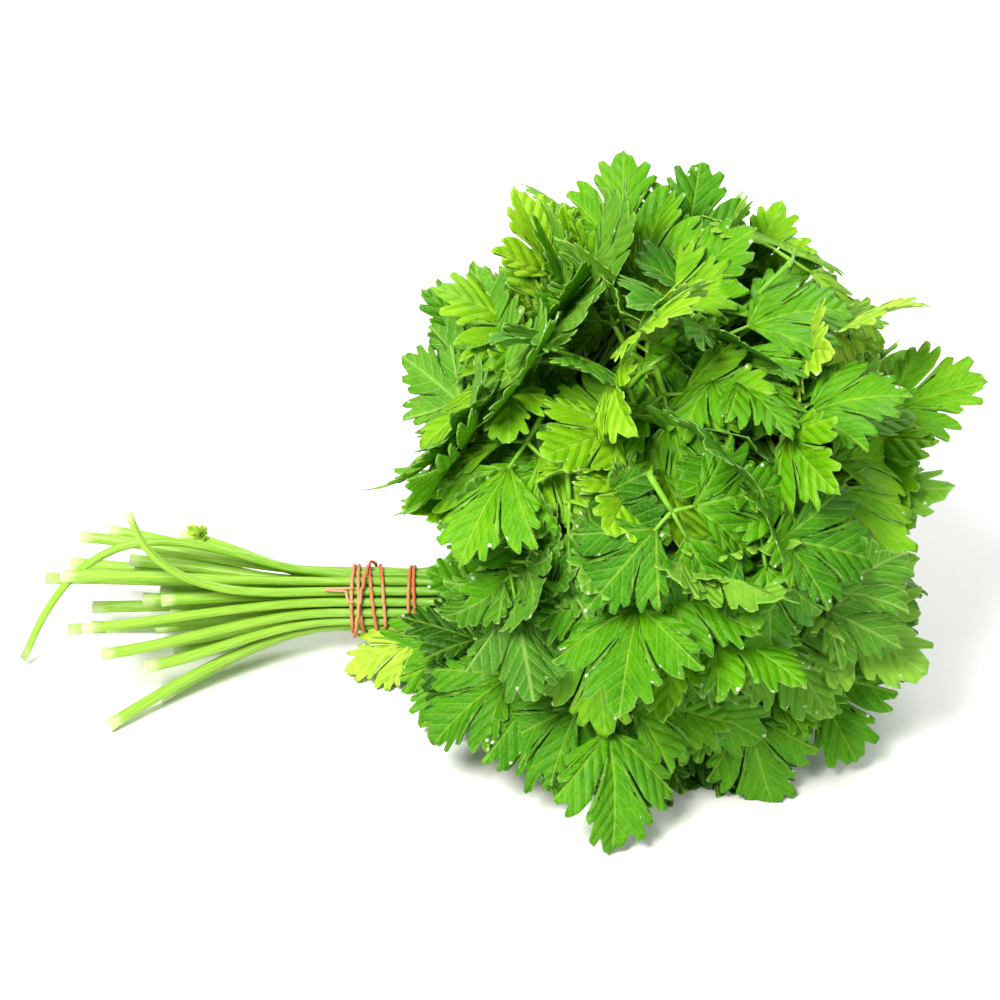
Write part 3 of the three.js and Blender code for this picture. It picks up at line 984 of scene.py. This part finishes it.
# %% Leaflets at the tie
inner_points = [v.co for v in frame["nodes"]["elastic_band_inner"].data.vertices]
TIE_MID = middle(inner_points)
LOW_LEAFLETS = [
    ((14, -17, -3), (-16, -19, -12), (-0.1, -0.8, 0.7), 0.50, 0.95),
    ((1, -15, -6), (-23, -18, -14), (-0.2, -0.7, 0.8), 1.0, 0.8),
    ((14, -34, 2), (4, -50, -15), (0.1, -0.85, 0.5), 0.50, 1.0),
    ((26, -10, 8), (6, -14, 20), (-0.2, -0.8, 0.6), 0.40, 0.9),
    ((30, -22, 6), (8, -27, -2), (-0.2, -0.7, 0.8), 0.35, 1.0),
    ((30, -2, 20), (8, -2, 31), (-0.3, -0.8, 0.6), 0.45, 0.9),
]
low_leaflets = {}
for base, tip, lean, young, width in LOW_LEAFLETS:
    base, tip = TIE_MID + Vector(base) * MM, TIE_MID + Vector(tip) * MM
    index, start = nearest_stem(base + Vector((9, 9, 0)) * MM)
    low_leaflets.setdefault(index, []).append((start, base, tip, Vector(lean), young, width))
print("single leaflets at the tie:", len(LOW_LEAFLETS))

# %% [markdown]
# Each CAD leaf is now replaced by one spray: its own compound leaf, the sprigs that hang from the same
# stem and the single leaflets there. Each leaf is made in a mesh of its own and then joined, which is
# much faster than letting one mesh grow.

# %% Leaves and sprigs
for index, (name, (foot, axis, face, size)) in enumerate(zip(LEAVES, leaf_places)):
    spray = leaf_mesh()
    # A leaf's tone carries painted light: brighter towards the top and the far end, deeper green below.
    compound_leaf(spray, foot - axis * 0.5 * MM, axis, face, size, tone_with_painted_light(foot + axis * 40 * MM))
    for start, sprig_foot, sprig_axis, sprig_face, sprig_size in sprigs[index]:
        thin_stalk(spray, start, sprig_foot, 0.95 * MM, 0.8 * MM, 2 * MM)
        tone = tone_with_painted_light(sprig_foot + sprig_axis * 30 * MM)
        compound_leaf(spray, sprig_foot, sprig_axis, sprig_face, sprig_size, tone, triples=False)
    for start, base, tip, lean, young, width in low_leaflets.get(index, []):
        thin_stalk(spray, start, base, 0.8 * MM, 0.6 * MM)
        way = (tip - base).normalized()
        up = (lean - lean.dot(way) * way).normalized()
        part = leaf_mesh()
        leaflet(part, base, way, up, (tip - base).length, young, width=width, droop=0.3, fold=0.15)
        join(spray, part)
    finished("spray_" + name[-2:], spray, LEAF_MATERIALS, [name])
print("compound leaves made:", len(LEAVES))

# %% [markdown]
# Cut stems sometimes still carry a tiny shoot. It is three very young leaflets with hardly any side
# lobes, on the highest stem at the back of the cut ends.

# %% Shoot
SHOOT_AT, SHOOT_LENGTH = -84 * MM, 7 * MM
near_shoot = [p for curve in stem_curves for p in curve if abs(p.x - SHOOT_AT) < 3 * MM]
shoot_base = max(near_shoot, key=lambda p: p.z * 1.6 + p.y)
shoot = leaf_mesh()
shoot_way = Vector((-0.6, -0.35, 0.7)).normalized()
shoot_face = Vector((0.3, -0.8, 0.5))
shoot_foot = shoot_base + 1.0 * MM * UP
shoot_tip = shoot_foot + 3 * MM * shoot_way
thin_stalk(shoot, shoot_foot, shoot_tip, 0.6 * MM, 0.4 * MM)
for turn, length in ((0.0, 1.0), (0.9, 0.7), (-0.9, 0.6)):
    way = turned(shoot_way, shoot_face.normalized(), turn)
    leaflet(shoot, shoot_tip, way, shoot_face, SHOOT_LENGTH * length, 1.0, lobes=(0.4, 0.4))
finished("shoot_on_stem", shoot, LEAF_MATERIALS, [])
print("shoot at x =", round(shoot_base.x / MM), "mm")

# %% [markdown]
# ## Elastic bands
# A stretched elastic lies against the outermost stems only and spans the gaps between them. So its place
# at each angle is found from the stem that reaches farthest that way. The strand winds on as a long rod,
# and at the end it crosses back over its own windings.

# %% Elastic strands
STRAND = 0.55 * MM
at_tie = {}


def stems_at(x):
    """The middle and radius of every stem where it crosses the plane at x."""
    key = round(x / MM, 1)
    if key not in at_tie:
        found = []
        for curve, radius in zip(stem_curves, stem_radii):
            for i in range(STEM_STEPS):
                a, b = curve[i], curve[i + 1]
                if a.x <= x < b.x:
                    share = (x - a.x) / (b.x - a.x)
                    found.append((a.lerp(b, share), radius((i + share) / STEM_STEPS) * (1 + RIB_HEIGHT)))
        at_tie[key] = found
    return at_tie[key]


def around(x, angle, lift=0.0):
    out = Vector((0, math.cos(angle), math.sin(angle)))
    stem, radius = max(stems_at(x), key=lambda found: found[0].dot(out) + found[1])
    place = stem + (radius + STRAND + lift) * out
    return Vector((x, place.y, place.z))


def strand(mesh, stops, first_angle, lift=0.0, tilt=0.6):
    """Winds once round the stems between each stop and the next. Stops are x in mm."""
    line, per_turn = [], 60
    for turn, (a, b) in enumerate(zip(stops, stops[1:])):
        for i in range(per_turn + (turn == len(stops) - 2)):
            angle = first_angle + 2 * math.pi * (turn + i / per_turn)
            x = (a + (b - a) * i / per_turn + tilt * math.cos(angle + turn)) * MM
            line.append(around(x, angle, lift * MM))
    rod(mesh, line, lambda t: STRAND, 8)


def loose_loop(mesh, x, angle, reach, width):
    """A slack bight that lies along the stems, pulled out of the windings towards the cut ends."""
    line = []
    for i in range(33):
        turn = math.pi * i / 32
        side = angle + width * math.cos(turn) * (1 - 0.45 * math.sin(turn))
        line.append(around(x - reach * math.sin(turn), side, 0.9 * MM))
    rod(mesh, line, lambda t: STRAND * 0.8, 8)


UNDERNEATH, FACING = -1.5, 2.35


def tie_of(node_name, name, windings, bight=False):
    """A winding is its stops, as shares of the CAD elastic's width, its first angle and its lift in mm."""
    along = [v.co.x / MM for v in frame["nodes"][node_name].data.vertices]
    low, width = min(along), max(along) - min(along)
    tie = bmesh.new()
    for stops, angle, lift in windings:
        strand(tie, [low + width * stop for stop in stops], angle, lift)
    if bight:
        loose_loop(tie, (low + 1.5) * MM, FACING, 9 * MM, 0.16)
    return finished(name, tie, [rubber], [node_name])


outer_tie = [
    ((0.03, 0.14, 0.40, 0.74, 0.96), UNDERNEATH, 0.0),
    ((0.92, 0.10), UNDERNEATH - 0.4, 1.15),
]
inner_tie = [((0.12, 0.45, 0.9), UNDERNEATH, 0.0)]
tie_of("elastic_band_outer", "elastic_outer", outer_tie, bight=True)
tie_of("elastic_band_inner", "elastic_inner", inner_tie)
print("elastics made")

# %% [markdown]
# ## Floor, light and camera
# The bunch lies on a wide sheet of white paper, which is matt with a faint grain. It is only a stage.

# %% Floor
floor_mesh = bmesh.new()
bmesh.ops.create_grid(floor_mesh, x_segments=1, y_segments=1, size=4.0)
floor_data = bpy.data.meshes.new("floor")
floor_mesh.to_mesh(floor_data)
floor_mesh.free()
floor = bpy.data.objects.new("floor", floor_data)
bpy.context.scene.collection.objects.link(floor)
paper, tree = new_material("white_paper_floor")
place = node(tree, "TexCoord").outputs["Object"]
grain = node(tree, "TexNoise", ("Vector", place), ("Scale", per_metre(3.3333)))
colour = node(tree, "Mix", grain, (6, linear("#F7F7F5")), (7, linear("#FBFBFA")), **COLOURS).outputs[2]
sheet = node(tree, "BsdfPrincipled", ("Base Color", colour), ("Roughness", 0.9))
node(tree, "OutputMaterial", sheet)
floor_data.materials.append(paper)
print("floor laid")

# %% [markdown]
# A soft key light stands over the bunch at the front left, so every leaf has a light and a dark side.
# Weaker ones fill from the right and from behind, where light comes through the thin blades, and the
# white world opens the shadows.

# %% Lights and world
scene = bpy.context.scene
scene.view_settings.view_transform = "Standard"
world = bpy.data.worlds.new("studio")
world.use_nodes = True
world.node_tree.nodes["Background"].inputs[0].default_value = (1.0, 1.0, 1.0, 1.0)
world.node_tree.nodes["Background"].inputs[1].default_value = 0.30
scene.world = world


def soft_light(name, place, target, size, power, warmth="#FFFFFF"):
    lamp = bpy.data.lights.new(name, "AREA")
    lamp.shape, lamp.size, lamp.energy = "SQUARE", size, power
    lamp.color = linear(warmth)[:3]
    thing = bpy.data.objects.new(name, lamp)
    scene.collection.objects.link(thing)
    thing.location = place
    thing.rotation_euler = (Vector(target) - Vector(place)).to_track_quat("-Z", "Y").to_euler()
    print(name, "gives", power, "W")


soft_light("key_light", (-0.35, -0.55, 0.85), (0.03, 0, 0.07), 0.4, 18.0, "#FFFDF6")
soft_light("fill_light", (0.7, -0.5, 0.45), (0.05, 0, 0.07), 0.6, 2.5)
soft_light("back_light", (0.3, 0.7, 0.7), (0.05, 0, 0.08), 0.6, 7.5)

# %% [markdown]
# A long lens from 0.8 m away keeps the near and far leaves at about the same scale. It looks down by 32
# degrees, and its focal length is worked out from the width that it has to show.

# %% Camera
ELEVATION = math.radians(32)
DISTANCE = 0.8
VIEW_WIDTH = 0.314
TARGET = Vector((0.0125, 0.0, 0.0623))
camera_data = bpy.data.cameras.new("camera")
camera = bpy.data.objects.new("camera", camera_data)
scene.collection.objects.link(camera)
back = Vector((0, -math.cos(ELEVATION), math.sin(ELEVATION)))
camera.location = TARGET + back * DISTANCE
camera.rotation_euler = (-back).to_track_quat("-Z", "Y").to_euler()
camera_data.sensor_width = 36
camera_data.lens = 18 * DISTANCE / (VIEW_WIDTH / 2)
camera_data.clip_start, camera_data.clip_end = 0.01, 10
scene.camera = camera
print("lens, mm:", round(camera_data.lens, 1))
